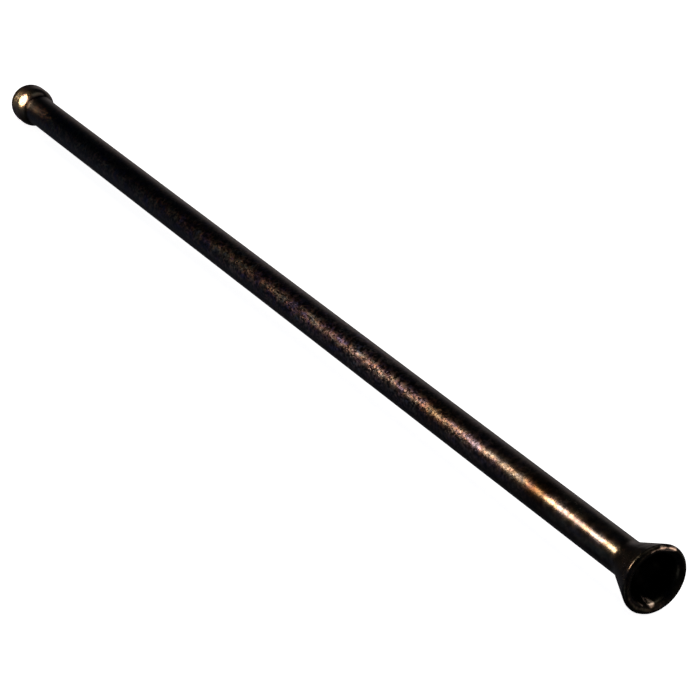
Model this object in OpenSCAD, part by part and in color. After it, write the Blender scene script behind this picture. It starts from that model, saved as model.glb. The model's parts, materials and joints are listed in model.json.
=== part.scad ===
// Engine pushrod: one forged steel rod with a ball at one end and a flared cup at the other.
// It lies at rest on z = 0, on the underside of its ball and of its cup's lip, along X.
// The ball points to -X and the mouth of the cup to +X.

/* [Rod] */
// Length over all, from the top of the ball to the lip of the cup
overall_length = 290.5; // [120:0.5:420]
// Diameter of the plain round shank
rod_d = 7.94; // [6:0.02:9]

/* [Ball end] */
// Diameter of the ball
ball_d = 10.6; // [10:0.1:16]
// Length of the straight belt between the ball's two halves
ball_belt = 2.2; // [0.5:0.1:4]
// Radius of the corner where the ball meets the shank
neck_fillet_r = 1.4; // [0.4:0.1:3]

/* [Cup end] */
// Diameter over the lip of the cup
cup_d = 14.8; // [13.6:0.1:20]
// Radius of the lip's outer edge
lip_edge_r = 0.7; // [0.3:0.05:1.2]
// Radius of the lip's inner edge, where it turns into the mouth
mouth_edge_r = 1.6; // [0.6:0.1:2]
// Angle between the outside of the flare and the axis of the rod, in degrees
flare_angle = 24; // [18:1:40]
// Radius of the corner where the shank runs out into the flare
flare_fillet_r = 4; // [1:0.5:12]
// Diameter of the ball that seats at the bottom of the cup
socket_d = 9.4; // [7:0.1:10]
// Depth of the cup, from its lip to the bottom of the seat
socket_depth = 6; // [4.5:0.1:7]

/* [Finish] */
// Colour of the blackened steel
steel_colour = "#2b2a2d"; // ["#2b2a2d", "#3a3a3e", "#55565a"]

/* [Hidden] */
$fn = 96;

rod_r = rod_d / 2;
ball_r = ball_d / 2;
cup_r = cup_d / 2;
socket_r = socket_d / 2;

// The most of its wall that a round edge or corner may take up
round_share = 0.95;

// Profiles are drawn with x as the radius. The rod's have y = 0 at the centre of the ball's outer half,
// and the cup's have y = 0 at the plane of its lip, which is this far from that centre.
lip_plane = overall_length - ball_r;

// The fillet at the neck touches the ball's inner half and the shank
neck_fillet_x = rod_r + neck_fillet_r;
neck_rise = sqrt(pow(ball_r + neck_fillet_r, 2) - pow(neck_fillet_x, 2));
neck_fillet_centre = [neck_fillet_x, ball_belt + neck_rise];

// The lip's two round edges meet on its crest
crest_r = cup_r - lip_edge_r;
mouth_round_r = min(mouth_edge_r, round_share * (crest_r - socket_r));
lip_centre = [crest_r, -lip_edge_r];
mouth_centre = [crest_r, -mouth_round_r];

// The outside of the flare runs off the lip's outer edge as a tangent
along_flare = [sin(flare_angle), cos(flare_angle)];
out_of_flare = [cos(flare_angle), -sin(flare_angle)];
flare_top = lip_centre + lip_edge_r * out_of_flare;
flare_length = (flare_top.x - rod_r) / sin(flare_angle);
flare_foot = flare_top - flare_length * along_flare;

// The corner at the flare's foot touches the shank and the flare this far from where they would meet
flare_round_reach = min(flare_fillet_r * tan(flare_angle / 2), round_share * flare_length);
flare_round_r = flare_round_reach / tan(flare_angle / 2);
flare_round_top = flare_foot + flare_round_reach * along_flare;
flare_round_centre = [rod_r + flare_round_r, flare_foot.y - flare_round_reach];

// The mouth's wall is a tangent of the lip's inner edge and of the spherical seat
socket_centre = [0, socket_r - socket_depth];
to_mouth = mouth_centre - socket_centre;
mouth_angle = atan2(to_mouth.y, to_mouth.x) - acos((socket_r + mouth_round_r) / norm(to_mouth));
out_of_mouth = [cos(mouth_angle), sin(mouth_angle)];
mouth_top = mouth_centre - mouth_round_r * out_of_mouth;
socket_edge = socket_centre + socket_r * out_of_mouth;

// The rod lies on its lip and on the half of the ball that is lower: the outer one while the cup is the wider end
rest_along = cup_r > ball_r ? 0 : ball_belt;
lip_from_ball = [lip_centre.x, lip_plane + lip_centre.y];
lip_from_rest = lip_from_ball - [0, rest_along];
lying_angle = atan2(lip_from_rest.x, lip_from_rest.y) - asin((ball_r - lip_edge_r) / norm(lip_from_rest));
cup_end_x = lip_from_ball.y * cos(lying_angle) + lip_from_ball.x * sin(lying_angle) + lip_edge_r;
ball_centre_x = (ball_r - cup_end_x) / 2;
ball_centre_z = ball_r - rest_along * sin(lying_angle);

// Half of the ball's section, up to the axis
module ball_profile() {
    intersection() {
        union() {
            circle(ball_r);
            translate([0, ball_belt]) circle(ball_r);
            translate([-ball_r, 0]) square([2 * ball_r, ball_belt]);
        }
        translate([0, -ball_r]) square([ball_r, 2 * ball_r + ball_belt]);
    }
}

// The hollow corner between the ball and the shank
module neck_profile() {
    difference() {
        polygon([[0, ball_belt], neck_fillet_centre, [0, neck_fillet_centre.y]]);
        translate(neck_fillet_centre) circle(neck_fillet_r);
    }
}

// The plain shank, from the ball's centre into the solid foot of the flare
module shank_profile() {
    square([rod_r, lip_plane + flare_foot.y]);
}

// The flared end, still solid, with the hollow corner where it leaves the shank and the lip's outer edge
module flare_profile() {
    difference() {
        polygon([
            [0, flare_round_centre.y],
            flare_round_centre,
            flare_round_top,
            flare_top,
            lip_centre,
            [crest_r, 0],
            [0, 0]
        ]);
        translate(flare_round_centre) circle(flare_round_r);
    }
    translate(lip_centre) circle(lip_edge_r);
}

// The hollow of the cup: a spherical seat, a conical wall and a mouth that turns out over the lip's inner edge
module socket_profile() {
    translate(socket_centre) circle(socket_r);
    difference() {
        polygon([[0, socket_edge.y], socket_edge, mouth_top, mouth_centre, [crest_r, 0], [0, 0]]);
        translate(mouth_centre) circle(mouth_round_r);
    }
}

module pushrod_profile() {
    difference() {
        union() {
            ball_profile();
            neck_profile();
            shank_profile();
            translate([0, lip_plane]) flare_profile();
        }
        translate([0, lip_plane]) socket_profile();
    }
}

module pushrod() {
    color(steel_colour)
        translate([ball_centre_x, 0, ball_centre_z])
        rotate([0, 90 - lying_angle, 0])
        rotate_extrude() pushrod_profile();
}

pushrod();
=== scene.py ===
import json
import math

import bmesh
import bpy
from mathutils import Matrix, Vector


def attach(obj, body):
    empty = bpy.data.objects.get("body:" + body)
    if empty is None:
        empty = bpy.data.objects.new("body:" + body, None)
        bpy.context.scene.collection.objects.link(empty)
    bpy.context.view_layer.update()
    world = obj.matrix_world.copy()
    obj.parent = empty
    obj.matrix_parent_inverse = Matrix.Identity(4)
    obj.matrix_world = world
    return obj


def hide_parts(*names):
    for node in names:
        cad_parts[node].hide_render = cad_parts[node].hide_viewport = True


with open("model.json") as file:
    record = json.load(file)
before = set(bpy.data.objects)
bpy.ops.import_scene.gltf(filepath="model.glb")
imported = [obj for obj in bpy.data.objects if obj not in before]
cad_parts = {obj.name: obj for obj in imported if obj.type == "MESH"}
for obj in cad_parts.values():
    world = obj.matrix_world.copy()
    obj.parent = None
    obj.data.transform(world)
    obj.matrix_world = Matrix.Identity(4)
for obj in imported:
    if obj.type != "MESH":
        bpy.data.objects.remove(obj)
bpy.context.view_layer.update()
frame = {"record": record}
mounts = {mount["name"]: mount for mount in frame["record"]["mounts"]}
ballCentre = Vector(mounts["ball_end"]["pos_m"])
lyingAngle = math.asin(mounts["cup_end"]["axis"][2])  # the cup is wider than the ball, so its end lies higher


# Node trees: Wire is one value in a tree, NodeBench lays nodes and joins them

class Wire:
    def __init__(self, bench, socket):
        self.bench = bench
        self.socket = socket

    def do(self, operation, *values):
        return self.bench.add("ShaderNodeMath", {"operation": operation}, dict(enumerate(values)))

    def __add__(self, other):
        return self.do("ADD", self, other)

    def __radd__(self, other):
        return self.do("ADD", other, self)

    def __sub__(self, other):
        return self.do("SUBTRACT", self, other)

    def __rsub__(self, other):
        return self.do("SUBTRACT", other, self)

    def __mul__(self, other):
        return self.do("MULTIPLY", self, other)

    def __rmul__(self, other):
        return self.do("MULTIPLY", other, self)

    def __truediv__(self, other):
        return self.do("DIVIDE", self, other)

    def __rtruediv__(self, other):
        return self.do("DIVIDE", other, self)

    def ease(self, start, end, low=0.0, high=1.0):  # soft step from low at start to high at end
        sockets = {0: self, 1: start, 2: end, 3: low, 4: high}
        return self.bench.add("ShaderNodeMapRange", {"interpolation_type": "SMOOTHSTEP"}, sockets)

    def leaving(self, share):  # 1 where this mask is 0, and the share where it is 1
        return 1 + (share - 1) * self


class NodeBench:
    def __init__(self, tree):
        self.tree = tree
        tree.nodes.clear()

    def add(self, kind, settings=None, sockets=None, out=0):
        node = self.tree.nodes.new(kind)
        for name, value in (settings or {}).items():
            if name == "stops":
                self.setStops(node.color_ramp.elements, value)
            else:
                setattr(node, name, value)
        for key, value in (sockets or {}).items():
            target = node.inputs[key]
            if isinstance(value, Wire):
                self.tree.links.new(value.socket, target)
            else:
                target.default_value = value
        live = [socket for socket in node.outputs if socket.enabled]
        if not live:
            return None
        return Wire(self, live[out] if isinstance(out, int) else node.outputs[out])

    def setStops(self, elements, stops):
        while len(elements) > 1:
            elements.remove(elements[-1])
        for number, (place, colour) in enumerate(stops):
            stop = elements[0] if number == 0 else elements.new(place)
            stop.position = place
            stop.color = (*colour, 1.0)

    def split(self, vector):
        node = self.add("ShaderNodeSeparateXYZ", None, {0: vector}).socket.node
        return [Wire(self, socket) for socket in node.outputs]

    def join(self, x, y, z):
        return self.add("ShaderNodeCombineXYZ", None, {0: x, 1: y, 2: z})

    def vector(self, operation, *values):
        return self.add("ShaderNodeVectorMath", {"operation": operation}, dict(enumerate(values)))

    def scaled(self, vector, amount):
        return self.add("ShaderNodeVectorMath", {"operation": "SCALE"}, {0: vector, "Scale": amount})

    def dot(self, first, second):
        return self.add("ShaderNodeVectorMath", {"operation": "DOT_PRODUCT"}, {0: first, 1: second}, "Value")

    def length(self, vector):
        return self.add("ShaderNodeVectorMath", {"operation": "LENGTH"}, {0: vector}, "Value")

    def noise(self, place, size, detail, roughness=0.5):  # size is in metres
        sockets = {"Vector": place, "Scale": 1.0 / size, "Detail": detail, "Roughness": roughness}
        return self.add("ShaderNodeTexNoise", None, sockets)

    def ramp(self, value, stops):
        return self.add("ShaderNodeValToRGB", {"stops": stops}, {0: value})

    def blend(self, amount, first, second, how="MIX"):
        settings = {"data_type": "RGBA", "blend_type": how}
        return self.add("ShaderNodeMix", settings, {0: amount, 6: first, 7: second})


# The pushrod's sizes: the lathe turns it by them, and the steel's worn places are set by them

pushrod = {
    "length": 0.2905,  # over all, from the top of the ball to the lip of the cup
    "rodRadius": 0.00397,
    "ballRadius": 0.0053,
    "ballBelt": 0.0022,  # straight belt between the ball's two halves
    "neckFillet": 0.0014,
    "cupRadius": 0.0074,
    "lipEdge": 0.0007,  # round outer edge of the lip
    "mouthEdge": 0.0016,  # round inner edge, where the lip turns into the mouth
    "flareAngle": math.radians(24),
    "flareFillet": 0.004,
    "socketRadius": 0.0047,
    "socketDepth": 0.006,
    "sides": 160,
    "shankStep": 0.00062,  # between the shank's rings
    "rings": {  # how many rings each other stretch of the profile has
        "outerBall": 36, "belt": 4, "innerBall": 18, "neck": 10, "flareFoot": 24,
        "flare": 20, "lip": 20, "mouth": 20, "mouthWall": 10, "seat": 24,
    },
    "mergeDistance": 1e-6,  # closes the seam and the poles
    "waveSize": 0.011,  # slow unevenness of the drawn rod
    "waveDepth": 0.00003,
    "nickSize": 0.0016,  # small knocks on the cup
    "nickDepth": 0.00004,
    "nickRange": (0.56, 0.72),  # values of the noise where a knock starts and is deepest
    "nickFade": 0.002,  # length over which the knocks set in
    "skin": 0.00002,  # how far all of the surface lies inside the CAD's
    "seed": (3.1, 7.4, 1.9),
}
lipPlane = pushrod["length"] - pushrod["ballRadius"]  # from the centre of the ball's outer half


def onRod(along, radius, angle):  # a place in the rod's own axes, its angle in degrees from the top to +Y
    turn = math.radians(angle)
    return Vector((along, radius * math.sin(turn), radius * math.cos(turn)))


def onCup(depth, radius, angle):  # the same, from the plane of the lip
    return onRod(lipPlane - depth, radius, angle)


# Painted shade darkens the corner behind the ball, the cup and its hollow
# Blackened steel: near-black oxide with warm temper tints and a fine grain, rubbed by the cup and on its lip
# Places along the rod are metres from the ball's centre, and depths are metres from the plane of the lip
# Steps are soft: a pair is where one starts and ends, and a set of four adds its two values

steelFinish = {
    "shine": 0.018,  # how much the oxide reflects head on
    "edgeShine": (0.74, 0.74, 0.76, 1.0),  # how much of a bare metal's edge glare the oxide keeps
    "roughness": 0.30,
    "roughnessRange": 0.08,
    "blotchSize": 0.014,
    "blotchDetail": (3.0, 0.55),  # detail and roughness of the noise, here and below
    "blotchShine": (0.45, 1.1),  # share of the shine in the darkest blotch, and the rise to the palest
    "fleckSize": 0.0016,
    "fleckDetail": (3.0, 0.6),
    "fleckShine": (0.36, 0.64, -0.45, 0.45),
    "grainSize": 0.00046,
    "grainShine": (0.2, 0.8, -0.85, 0.85),
    "grainHeight": 0.00002,
    "grainShare": 0.3,  # of the grains in the height, beside the flecks
    "grainFade": (0.200, 0.240, 1.0, 0.55),  # the grain is weaker by the cup
    "grainTints": (  # chance value of a grain, and its tint
        (0.00, (0.75, 0.72, 0.85)),
        (0.35, (1.00, 0.74, 0.52)),
        (0.70, (1.10, 1.05, 1.00)),
        (1.00, (1.00, 0.92, 0.92)),
    ),
    "tintWander": 0.012,  # how far the blotches shift the tints
    "tints": (  # share of the rod's length from the ball's centre, and the tint there
        (0.00, (1.00, 0.92, 0.80)),
        (0.30, (1.00, 0.98, 1.00)),
        (0.52, (1.20, 1.22, 1.50)),
        (0.64, (1.25, 1.30, 1.70)),
        (0.70, (1.00, 1.00, 1.20)),
        (0.742, (0.68, 0.56, 0.44)),
        (0.785, (1.00, 0.97, 1.10)),
        (0.852, (0.90, 0.80, 0.72)),
        (0.868, (0.46, 0.28, 0.14)),
        (0.882, (0.46, 0.28, 0.14)),
        (0.897, (1.00, 0.90, 0.74)),
        (0.95, (1.00, 0.97, 0.82)),
    ),
    "patchSize": 0.0021,  # the oxide's coloured patches
    "patchDetail": (4.0, 0.55),
    "patchDraw": (0.5, 1.0, 1.0),  # drawn out along the rod
    "patchFade": (0.27, 0.10, 0.35, 0.8),  # stronger towards the ball
    "patches": (  # value of the noise, and how it tints the steel there
        (0.32, (0.14, 0.30, 0.85)),
        (0.41, (0.55, 0.40, 0.95)),
        (0.47, (1.15, 0.66, 0.46)),
        (0.53, (1.35, 1.08, 0.72)),
        (0.60, (0.75, 0.92, 0.60)),
        (0.68, (0.25, 0.50, 0.80)),
    ),
    "ballEdge": (0.0060, 0.0054),
    "ballRoughness": 0.22,
    "ballShine": 1.8,
    "ballPatched": 0.5,  # shares of the patches, grain and flecks that are left on the ball
    "ballGrained": 0.05,
    "ballFlecked": 0.2,
    "neckStart": (0.0048, 0.0056),
    "neckEnd": (0.0190, 0.0080),
    "neckPaintedShade": 0.04,  # share of the shine that is left in the corner behind the ball, darkened there as painted shade
    "rubbedStart": (0.243, 0.256),
    "rubbedWander": 0.02,  # how far the blotches shift that start
    "rubbedRoughness": 0.255,
    "rubbedShine": 1.3,
    "rubbedGrained": 0.45,  # shares of the grain and of its height that are left there
    "rubbedHeight": 0.2,
    "cupEdge": (0.0100, 0.0080),
    "cupPaintedShade": 0.6,  # share of the shine that is left on the cup, which is darkened as painted shade
    "cupHeight": 2.0,  # added to the height's share on the cup
    "hollowSlope": 0.35,  # the hollow narrows by this share of its depth
    "hollowEdge": (0.0066, 0.0062),
    "hollowStart": (0.0009, 0.0018),
    # painted shade: share of the shine that is left inside the cup's hollow
    "hollowPaintedShade": 0.12,
    "bare": (0.98, 0.74, 0.57, 1.0),
    "bareRoughness": 0.36,
    "wornEdge": (0.25, 0.55),  # values of the flecks that leave the worn places ragged
    "strokeCore": 0.3,  # share of a stroke's half width that is worn fully
    "wornStrokes": (  # places on the lip and in the mouth: from, to, half width, share of bare steel
        (onCup(0.00001, 0.00666, -12), onCup(0.00003, 0.00684, 8), 0.00030, 0.4),
        (onCup(0.00003, 0.00684, 8), onCup(0.00004, 0.00692, 36), 0.00062, 1.0),
        (onCup(0.00268, 0.00452, -165), onCup(0.00175, 0.00490, -169), 0.00050, 0.6),
        (onCup(0.00175, 0.00490, -169), onCup(0.00080, 0.00533, -175), 0.00095, 1.0),
        (onCup(0.00080, 0.00533, -175), onCup(0.00030, 0.00580, -174), 0.00036, 0.5),
        (onCup(0.00160, 0.00496, -126), onCup(0.00088, 0.00527, -139), 0.00024, 0.12),
        (onCup(0.00088, 0.00527, -139), onCup(0.00050, 0.00554, -152), 0.00026, 0.30),
    ),
}


def strokeMask(bench, place, stroke, core):  # the share of bare steel along a stroke, 0 past its half width
    start, end, halfWidth, bareShare = stroke
    run = end - start
    offset = bench.vector("SUBTRACT", place, start)
    share = bench.add("ShaderNodeMath", {"operation": "MULTIPLY", "use_clamp": True},
                      {0: bench.dot(offset, run), 1: 1.0 / run.length_squared})
    away = bench.vector("SUBTRACT", offset, bench.scaled(run, share))
    return bench.length(away).ease(halfWidth, core * halfWidth) * bareShare


def makeBlackenedSteel(look, rodLength):
    material = bpy.data.materials.new("blackenedSteel")
    material.use_nodes = True
    bench = NodeBench(material.node_tree)
    place = bench.add("ShaderNodeMapping", {"vector_type": "TEXTURE"}, {  # into the rod's own axes
        "Vector": bench.add("ShaderNodeTexCoord", None, None, "Object"),
        "Location": ballCentre, "Rotation": (0.0, -lyingAngle, 0.0)})
    along, side, top = bench.split(place)
    radius = bench.length(bench.join(0.0, side, top))
    depth = rodLength - along

    blotch = bench.noise(place, look["blotchSize"], *look["blotchDetail"])
    fleck = bench.noise(place, look["fleckSize"], *look["fleckDetail"])
    grain, grainHue, unused = bench.split(bench.add("ShaderNodeTexVoronoi", {"feature": "F1"}, {
        "Vector": place, "Scale": 1.0 / look["grainSize"]}, "Color"))
    blotchSwing = blotch - 0.5  # either side of the noise's middle
    fleckSwing = fleck - 0.5

    onBall = along.ease(*look["ballEdge"])
    # painted shade: the corner behind the ball is darkened
    paintedNeckShade = along.ease(*look["neckStart"]) * along.ease(*look["neckEnd"])
    rubbed = (along + blotchSwing * look["rubbedWander"]).ease(*look["rubbedStart"])
    inCup = depth.ease(*look["cupEdge"])
    # painted shade: the hollow inside the cup's mouth is darkened
    hollow = (radius + look["hollowSlope"] * depth).ease(*look["hollowEdge"])
    hollow = hollow * depth.ease(*look["hollowStart"])

    tint = bench.ramp((along + blotchSwing * look["tintWander"]) / rodLength, look["tints"])
    drawn = bench.vector("MULTIPLY", place, look["patchDraw"])
    patch = bench.ramp(bench.noise(drawn, look["patchSize"], *look["patchDetail"]), look["patches"])
    patched = along.ease(*look["patchFade"]) * onBall.leaving(look["ballPatched"])
    tint = bench.blend(patched, tint, patch, "MULTIPLY")
    grained = along.ease(*look["grainFade"]) * rubbed.leaving(look["rubbedGrained"])
    grained = grained * onBall.leaving(look["ballGrained"])
    tint = bench.blend(grained, tint, bench.ramp(grainHue, look["grainTints"]), "MULTIPLY")

    darkest, rise = look["blotchShine"]
    tone = look["shine"] * (darkest + rise * blotch)
    tone = tone * rubbed.leaving(look["rubbedShine"]) * onBall.leaving(look["ballShine"])
    tone = tone * (1 + fleck.ease(*look["fleckShine"]) * onBall.leaving(look["ballFlecked"]))
    tone = tone * (1 + grain.ease(*look["grainShine"]) * grained)
    # painted shade: the cup, its hollow and the corner behind the ball are darkened
    tone = tone * inCup.leaving(look["cupPaintedShade"]) * hollow.leaving(look["hollowPaintedShade"])
    tone = tone * paintedNeckShade.leaving(look["neckPaintedShade"])
    colour = bench.scaled(tint, tone)

    # places rubbed bare, with ragged edges
    core = look["strokeCore"]
    masks = [strokeMask(bench, place, stroke, core) for stroke in look["wornStrokes"]]
    worn = masks[0]
    for mask in masks[1:]:
        worn = worn.do("MAXIMUM", worn, mask)
    worn = worn * fleck.ease(*look["wornEdge"])
    colour = bench.blend(worn, colour, look["bare"])

    plain = look["roughness"]
    roughness = plain + (fleckSwing + blotchSwing) * look["roughnessRange"]
    roughness = roughness + rubbed * (look["rubbedRoughness"] - plain)
    roughness = roughness + onBall * (look["ballRoughness"] - plain)
    roughness = roughness + worn * (look["bareRoughness"] - plain)

    height = look["grainShare"] * grain + fleck
    height = height * (rubbed.leaving(look["rubbedHeight"]) + look["cupHeight"] * inCup) * (1 - onBall)
    normal = bench.add("ShaderNodeBump", None,
                       {"Strength": 1.0, "Distance": look["grainHeight"], "Height": height})
    shader = bench.add("ShaderNodeBsdfPrincipled", None, {
        "Base Color": colour, "Metallic": 1.0, "Roughness": roughness,
        "Specular Tint": look["edgeShine"], "Normal": normal})
    bench.add("ShaderNodeOutputMaterial", None, {"Surface": shader})
    print("steel mixed:", len(bench.tree.nodes), "nodes")
    return material


# The pushrod: one profile turned about the rod's axis

def arc(centre, radius, start, end, steps):  # points after the first, angles from the radius axis
    points = []
    for step in range(1, steps + 1):
        angle = start + (end - start) * step / steps
        points.append(centre + radius * Vector((math.cos(angle), math.sin(angle))))
    return points


def line(start, end, steps):  # points after the first
    return [start.lerp(end, step / steps) for step in range(1, steps + 1)]


def pushrodProfile(sizes):  # points of radius and place along the axis, from the ball's top to the seat
    rod, ball, neckFillet = sizes["rodRadius"], sizes["ballRadius"], sizes["neckFillet"]
    flare, fillet, socket = sizes["flareAngle"], sizes["flareFillet"], sizes["socketRadius"]
    lipEdge, mouthEdge, rings = sizes["lipEdge"], sizes["mouthEdge"], sizes["rings"]
    halfTurn = math.pi
    quarterTurn = math.pi / 2
    neckReach = ball + neckFillet
    neckAngle = math.acos((rod + neckFillet) / neckReach)
    centre = Vector((0, 0))
    belt = Vector((0, sizes["ballBelt"]))
    neckCentre = belt + neckReach * Vector((math.cos(neckAngle), math.sin(neckAngle)))
    neckTop = Vector((rod, neckCentre.y))

    crest = Vector((sizes["cupRadius"] - lipEdge, lipPlane))
    lipCentre = crest - Vector((0, lipEdge))
    mouthCentre = crest - Vector((0, mouthEdge))
    outOfFlare = Vector((math.cos(flare), -math.sin(flare)))
    alongFlare = Vector((math.sin(flare), math.cos(flare)))
    flareTop = lipCentre + lipEdge * outOfFlare
    flareFoot = flareTop - alongFlare * (flareTop.x - rod) / math.sin(flare)
    filletReach = fillet * math.tan(flare / 2)
    filletFoot = Vector((rod, flareFoot.y - filletReach))
    filletCentre = filletFoot + Vector((fillet, 0))
    filletTop = flareFoot + filletReach * alongFlare

    # the mouth's wall touches the lip's inner edge and the round seat
    socketCentre = Vector((0, lipPlane - sizes["socketDepth"] + socket))
    toMouth = mouthCentre - socketCentre
    mouth = math.atan2(toMouth.y, toMouth.x) - math.acos((socket + mouthEdge) / toMouth.length)
    outOfMouth = Vector((math.cos(mouth), math.sin(mouth)))
    mouthTop = mouthCentre - mouthEdge * outOfMouth
    socketEdge = socketCentre + socket * outOfMouth

    points = [Vector((0, -ball))]
    points += arc(centre, ball, -quarterTurn, 0, rings["outerBall"])
    points += line(Vector((ball, 0)), Vector((ball, belt.y)), rings["belt"])
    points += arc(belt, ball, 0, neckAngle, rings["innerBall"])
    points += arc(neckCentre, neckFillet, halfTurn + neckAngle, halfTurn, rings["neck"])
    points += line(neckTop, filletFoot, round((filletFoot.y - neckTop.y) / sizes["shankStep"]))
    points += arc(filletCentre, fillet, halfTurn, halfTurn - flare, rings["flareFoot"])
    points += line(filletTop, flareTop, rings["flare"])
    points += arc(lipCentre, lipEdge, -flare, quarterTurn, rings["lip"])
    points += arc(mouthCentre, mouthEdge, quarterTurn, halfTurn + mouth, rings["mouth"])
    points += line(mouthTop, socketEdge, rings["mouthWall"])
    points += arc(socketCentre, socket, mouth, -quarterTurn, rings["seat"])
    points[-1].x = 0.0
    return points


def buildLatheTree(inputs):
    tree = bpy.data.node_groups.new("pushrodLathe", "GeometryNodeTree")
    tree.interface.new_socket("Rod", in_out="OUTPUT", socket_type="NodeSocketGeometry")
    tree.interface.new_socket("Profile", in_out="INPUT", socket_type="NodeSocketGeometry")
    for name, kind in inputs.items():
        tree.interface.new_socket(name, in_out="INPUT", socket_type=kind)
    bench = NodeBench(tree)
    entry = bench.add("NodeGroupInput").socket.node
    given = {socket.name: Wire(bench, socket) for socket in entry.outputs if socket.name}

    # a flat grid with one row for each point of the profile and one column for each side
    grid = bench.add("GeometryNodeMeshGrid", None, {
        "Size X": 1.0, "Size Y": 1.0, "Vertices X": given["Rings"], "Vertices Y": given["Sides"] + 1})
    flatX, flatY, unused = bench.split(bench.add("GeometryNodeInputPosition"))
    ring = bench.add("FunctionNodeFloatToInt", {"rounding_mode": "ROUND"},
                     {0: (flatX + 0.5) * (given["Rings"] - 1)})
    point = bench.add("GeometryNodeSampleIndex", {"data_type": "FLOAT_VECTOR", "domain": "POINT"}, {
        "Geometry": given["Profile"], "Value": bench.add("GeometryNodeInputPosition"), "Index": ring})
    radius, unused, height = bench.split(point)
    turn = (flatY + 0.5) * math.tau
    turned = bench.join(radius * turn.do("COSINE", turn), radius * turn.do("SINE", turn), height)
    rod = bench.add("GeometryNodeSetPosition", None, {"Geometry": grid, "Position": turned})
    rod = bench.add("GeometryNodeMergeByDistance", None, {
        "Geometry": rod, "Distance": given["Merge distance"]})

    # slow unevenness all over and knocks on the cup, all pressed inwards
    spot = bench.add("GeometryNodeInputPosition")
    seeded = bench.vector("ADD", spot, given["Seed"])
    wave = bench.noise(seeded, given["Wave size"], 1.0) * given["Wave depth"]
    nick = bench.noise(seeded, given["Nick size"], 1.0).ease(given["Nick from"], given["Nick to"])
    nearCup = bench.split(spot)[2].ease(given["Cup from"], given["Cup from"] + given["Nick fade"])
    inward = wave + nick * given["Nick depth"] * nearCup + given["Skin"]
    pressed = bench.scaled(bench.add("GeometryNodeInputNormal"), inward)
    rod = bench.add("GeometryNodeSetPosition", None, {"Geometry": rod, "Offset": pressed})

    rod = bench.add("GeometryNodeTransform", None, {
        "Geometry": rod, "Translation": given["Ball centre"], "Rotation": given["Lie"]})
    rod = bench.add("GeometryNodeSetMaterial", None, {"Geometry": rod, "Material": given["Steel"]})
    rod = bench.add("GeometryNodeRealizeInstances", None, {"Geometry": rod})
    bench.add("NodeGroupOutput", {"is_active_output": True}, {0: rod})
    return tree


def makePushrod(sizes, material):
    points = pushrodProfile(sizes)
    profile = bpy.data.meshes.new("pushrodProfile")
    profile.from_pydata([(p.x, 0.0, p.y) for p in points], [], [])
    blank = bpy.data.objects.new("pushrodBlank", profile)
    bpy.context.scene.collection.objects.link(blank)

    nickFrom, nickTo = sizes["nickRange"]
    values = {
        "Rings": ("NodeSocketInt", len(points)),
        "Sides": ("NodeSocketInt", sizes["sides"]),
        "Merge distance": ("NodeSocketFloat", sizes["mergeDistance"]),
        "Wave size": ("NodeSocketFloat", sizes["waveSize"]),
        "Wave depth": ("NodeSocketFloat", sizes["waveDepth"]),
        "Nick size": ("NodeSocketFloat", sizes["nickSize"]),
        "Nick depth": ("NodeSocketFloat", sizes["nickDepth"]),
        "Nick from": ("NodeSocketFloat", nickFrom),
        "Nick to": ("NodeSocketFloat", nickTo),
        "Nick fade": ("NodeSocketFloat", sizes["nickFade"]),
        "Cup from": ("NodeSocketFloat", lipPlane - sizes["cupRadius"]),
        "Skin": ("NodeSocketFloat", sizes["skin"]),
        "Seed": ("NodeSocketVector", sizes["seed"]),
        "Ball centre": ("NodeSocketVector", ballCentre),
        "Lie": ("NodeSocketRotation", (0.0, math.pi / 2 - lyingAngle, 0.0)),
        "Steel": ("NodeSocketMaterial", material),
    }
    tree = buildLatheTree({name: kind for name, (kind, value) in values.items()})
    lathe = blank.modifiers.new("lathe", "NODES")
    lathe.node_group = tree
    for socket in tree.interface.items_tree:
        if socket.name in values:
            lathe[socket.identifier] = values[socket.name][1]

    ready = blank.evaluated_get(bpy.context.evaluated_depsgraph_get())
    mesh = bpy.data.meshes.new_from_object(ready)
    bpy.data.objects.remove(blank)
    solid = bmesh.new()
    solid.from_mesh(mesh)
    bmesh.ops.remove_doubles(solid, verts=solid.verts, dist=sizes["mergeDistance"])
    bmesh.ops.recalc_face_normals(solid, faces=solid.faces)
    openEdges = sum(not edge.is_manifold for edge in solid.edges)
    volume = solid.calc_volume(signed=True)
    solid.to_mesh(mesh)
    solid.free()
    mesh.shade_smooth()
    mesh.name = "pushrodSteel"
    rod = bpy.data.objects.new("pushrodSteel", mesh)
    bpy.context.scene.collection.objects.link(rod)
    print("pushrod turned:", len(mesh.polygons), "faces,", openEdges, "open edges,", volume * 1e9, "mm3")
    return rod


blackenedSteel = makeBlackenedSteel(steelFinish, lipPlane)
rod = makePushrod(pushrod, blackenedSteel)
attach(rod, "root")
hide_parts("pushrod")
print("pushrod set on its body")


# Studio: a pale floor, a warm lamp along the shank, rings of small ones on the ball and a soft light above
# On the sky, places are parts of the direction, from -1 to 1, and a pair is where a soft step starts and ends

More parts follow.
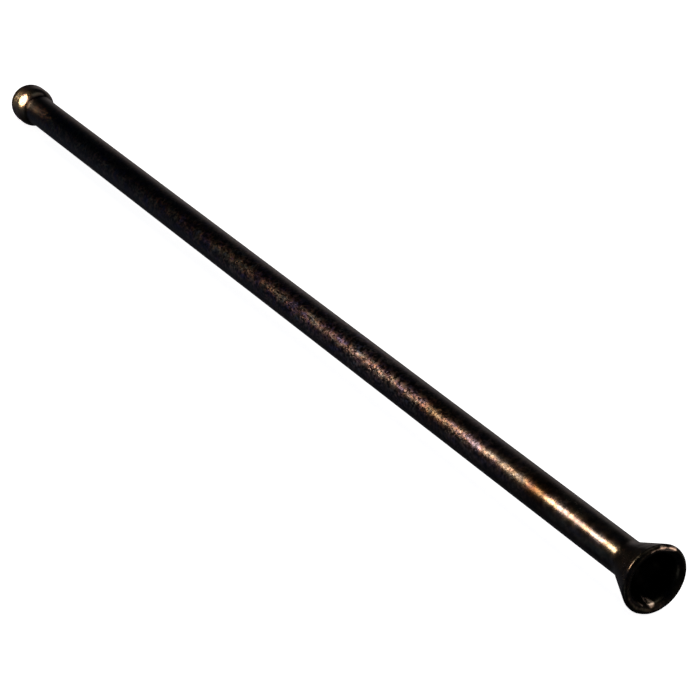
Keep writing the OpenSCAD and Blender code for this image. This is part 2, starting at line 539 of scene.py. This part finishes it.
studio = {
    "floorSide": 6.0,
    "floorColour": (0.9, 0.9, 0.9, 1.0),
    "floorRoughness": 0.9,
    "floorGlow": 0.95,
    "horizon": (0.22, 0.26, 0.36, 1.0),
    "horizonTop": (0.18, 0.50),  # how high the pale horizon fades out
    "horizonEnd": (-0.80, -0.95, 1.0, 0.06),  # it is dim straight past the ball
    "beyond": (0.60, 0.52, 0.48, 1.0),  # the warmer horizon on the far side of the rod
    "beyondStart": (-0.2, 0.4),
    "front": (0.10, 0.10, 0.11, 1.0),  # the dim room that the mouth of the cup faces
    "frontStart": (0.05, 0.35),
    "overhead": (0.01, 0.022, 0.045, 1.0),
    "below": (0.05, 0.05, 0.055, 1.0),
    "belowToward": (-0.1, 0.257, -1.0),  # the dark lies under the rod and beyond it
    "belowStart": (0.12, 0.68),
    "panels": (  # direction, cosines at its edge and inside it, and light of each soft panel before the cup
        ((0.717, 0.671, -0.190), (0.940, 0.985), (1.30, 1.08, 0.96)),
        ((0.438, -0.725, -0.530), (0.930, 0.985), (0.85, 0.88, 0.92)),
        ((0.778, 0.459, 0.429), (0.930, 0.985), (0.65, 0.54, 0.46)),
    ),
    "lampPlace": (-0.110, -0.194, 0.172),
    "lampAim": (0.130, 0.0, 0.007),
    "lampSpread": math.radians(70),  # narrow, so the strip dies out towards the ball
    "lampSize": (0.07, 0.095),
    "lampColour": (1.0, 0.74, 0.55),
    "lampPower": 0.50,
    "sparkPlace": (-0.1696, -0.0598, 0.0495),  # middle of the rings of small lamps
    "sparkAim": (-0.139, 0.0, 0.006),
    "sparkRings": ((1, 0.0), (6, 0.016), (12, 0.032)),  # how many lamps, and how far from the middle
    "sparkSpread": math.radians(15),  # narrow, so little falls past the ball
    "sparkSize": (0.008, 0.008),
    "sparkColour": (1.0, 0.70, 0.44),
    "sparkPower": 0.00078,
    "softPlace": (0.10, 0.30, 0.75),
    "softAim": (0.12, 0.0, 0.0),
    "softSize": (0.90, 0.90),
    "softColour": (1.0, 0.96, 0.9),
    "softPower": 3.3,
}


def makeFloor(look):
    material = bpy.data.materials.new("paleFloor")
    material.use_nodes = True
    bench = NodeBench(material.node_tree)
    shader = bench.add("ShaderNodeBsdfPrincipled", None, {
        "Base Color": look["floorColour"], "Roughness": look["floorRoughness"], "Specular IOR Level": 0.0,
        "Emission Color": (1.0, 1.0, 1.0, 1.0), "Emission Strength": look["floorGlow"]})
    bench.add("ShaderNodeOutputMaterial", None, {"Surface": shader})
    half = look["floorSide"] / 2
    corners = [(-half, -half, 0), (half, -half, 0), (half, half, 0), (-half, half, 0)]
    mesh = bpy.data.meshes.new("floor")
    mesh.from_pydata(corners, [], [(0, 1, 2, 3)])
    mesh.materials.append(material)
    floor = bpy.data.objects.new("floor", mesh)
    bpy.context.scene.collection.objects.link(floor)
    floor.visible_glossy = False  # the steel mirrors the studio sky instead, as it would over a shaded bench


def makeSky(look):
    world = bpy.data.worlds.new("studioSky")
    bpy.context.scene.world = world
    world.use_nodes = True
    bench = NodeBench(world.node_tree)
    direction = bench.add("ShaderNodeTexCoord", None, None, "Generated")
    x, y, z = bench.split(direction)
    colour = bench.blend(y.ease(*look["beyondStart"]), look["horizon"], look["beyond"])
    colour = bench.scaled(colour, x.ease(*look["horizonEnd"]))
    colour = bench.blend(x.ease(*look["frontStart"]), colour, look["front"])
    colour = bench.blend(z.ease(*look["horizonTop"]), colour, look["overhead"])
    under = bench.dot(direction, look["belowToward"]).ease(*look["belowStart"])
    colour = bench.blend(under, colour, look["below"])
    for toward, (edge, inside), light in look["panels"]:
        facing = bench.dot(direction, toward).ease(edge, inside)
        colour = bench.vector("ADD", colour, bench.scaled(light, facing))
    sky = bench.add("ShaderNodeBackground", None, {"Color": colour, "Strength": 1.0})
    bench.add("ShaderNodeOutputWorld", None, {"Surface": sky})


def makeLight(name, look, receivers=None, shift=(0.0, 0.0)):  # shift is across the beam
    data = bpy.data.lights.new(name, "AREA")
    data.shape = "RECTANGLE"
    data.size, data.size_y = look[name + "Size"]
    data.color = look[name + "Colour"]
    data.energy = look[name + "Power"]
    data.spread = look.get(name + "Spread", math.pi)
    light = bpy.data.objects.new(name, data)
    light.location = look[name + "Place"]
    light.visible_camera = False
    target = Vector(look[name + "Aim"])
    light.location += (target - light.location).to_track_quat("-Z", "Y") @ Vector((*shift, 0.0))
    light.rotation_euler = (target - light.location).to_track_quat("-Z", "Y").to_euler()
    bpy.context.scene.collection.objects.link(light)
    if receivers:
        light.light_linking.receiver_collection = receivers


makeFloor(studio)
makeSky(studio)
lit = bpy.data.collections.new("litByLamp")
lit.objects.link(rod)
makeLight("lamp", studio, lit)
for count, distance in studio["sparkRings"]:
    for number in range(count):
        turn = math.tau * number / count
        makeLight("spark", studio, lit, (distance * math.cos(turn), distance * math.sin(turn)))
makeLight("soft", studio)
print("studio lit")


# Camera at the photograph's viewing angle

camera = {
    "azimuth": math.radians(59.564),
    "elevation": math.radians(27.177),
    "aim": (0.032133, -0.000356, 0.006205),
    "distance": 0.575861,
    "focalPixels": 2600.0,
    "imageSide": 700,
    "sensor": 36.0,
    "clipStart": 0.01,
}


def makeCamera(look):
    data = bpy.data.cameras.new("photoCamera")
    data.sensor_width = look["sensor"]
    data.lens = look["focalPixels"] / look["imageSide"] * look["sensor"]
    data.clip_start = look["clipStart"]
    eye = bpy.data.objects.new("photoCamera", data)
    flat = math.cos(look["elevation"])
    back = Vector((math.sin(look["azimuth"]) * flat, -math.cos(look["azimuth"]) * flat,
                   math.sin(look["elevation"])))
    eye.location = Vector(look["aim"]) + back * look["distance"]
    eye.rotation_euler = (-back).to_track_quat("-Z", "Y").to_euler()
    bpy.context.scene.collection.objects.link(eye)
    bpy.context.scene.camera = eye


makeCamera(camera)
bpy.context.scene.view_settings.view_transform = "Standard"
print("camera set")
